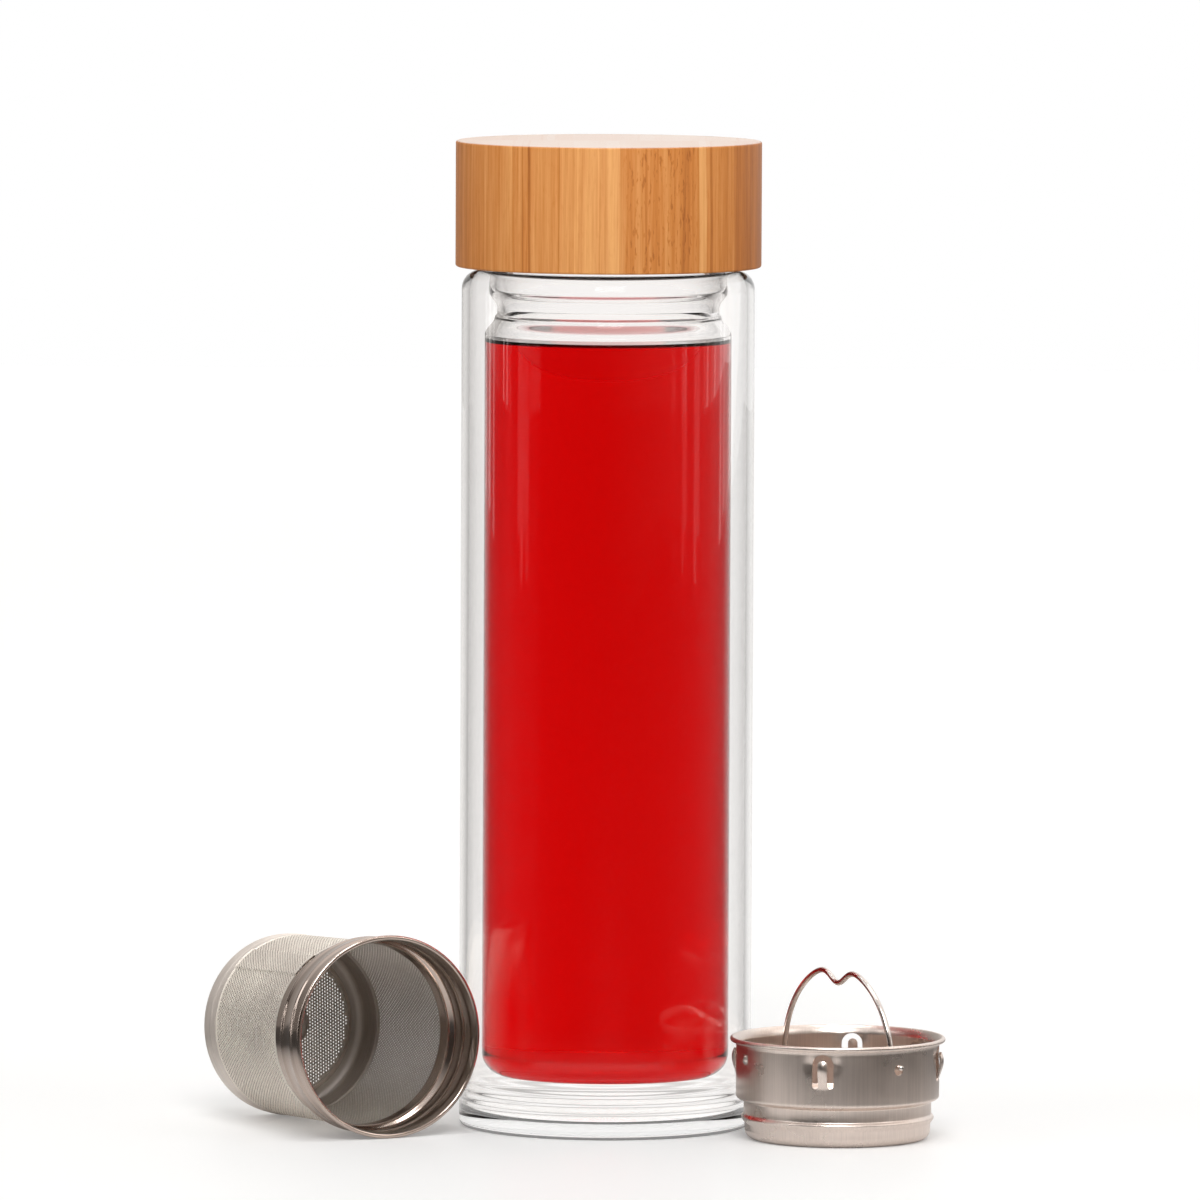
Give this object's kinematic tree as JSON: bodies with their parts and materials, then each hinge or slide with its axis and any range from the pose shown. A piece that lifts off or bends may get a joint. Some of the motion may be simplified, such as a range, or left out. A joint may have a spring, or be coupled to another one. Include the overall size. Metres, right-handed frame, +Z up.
{
  "type": "glass bottle",
  "caption": "Double-walled glass tea bottle with a bamboo screw lid, a steel strainer cup with a wire bail, and a perforated steel tea basket lying beside it.",
  "frame": {"origin": "centre of the bottle's flat base, on the surface that it stands on", "axes": "+Z up the bottle's axis, -Y towards the viewer, +X towards the strainer cup"},
  "size_m": [0.1803, 0.0899, 0.24],
  "materials": {
    "outer_glass": "clear polished borosilicate",
    "inner_glass": "clear polished borosilicate",
    "bamboo": "turned and oiled bamboo",
    "liner": "moulded",
    "seal": "translucent silicone",
    "steel": "drawn and polished stainless steel",
    "satin_steel": "etched and perforated stainless sheet",
    "wire": "bright drawn stainless wire"
  },
  "bodies": {
    "bottle": {"outer_glass": "outer_glass", "inner_glass": "inner_glass"},
    "lid_ring": {"cap_seal": "seal"},
    "lid": {"bamboo_cap": "bamboo", "cap_liner": "liner"},
    "strainer": {"strainer_cup": "steel", "strainer_screen": "satin_steel"},
    "bail": {"bail": "wire"},
    "basket": {"basket_collar": "steel", "basket_wall": "satin_steel", "basket_base": "steel"}
  },
  "joints": [
    {"name": "lid_rise", "type": "slide", "parent": "bottle", "child": "lid_ring", "axis": [0, 0, 1], "range_m": [0, 0.02]},
    {"name": "lid_turn", "type": "hinge", "parent": "lid_ring", "child": "lid", "pos_m": [0, 0, 0.226], "axis": [0, 0, 1], "range_deg": [0, 1440]},
    {"name": "strainer_lift", "type": "slide", "parent": "bottle", "child": "strainer", "axis": [0, 0, 1], "range_m": [0, 0.12]},
    {"name": "bail_swing", "type": "hinge", "parent": "strainer", "child": "bail", "pos_m": [0.05626, -0.02688, 0.0194], "axis": [0.5864, -0.81, 0], "range_deg": [-90, 90]},
    {"name": "basket_lift", "type": "slide", "parent": "bottle", "child": "basket", "axis": [0, 0, 1], "range_m": [0, 0.12]}
  ],
  "couplings": [
    {"joint": "lid_rise", "follows": "lid_turn", "m_per_rad": 0.00079577}
  ]
}
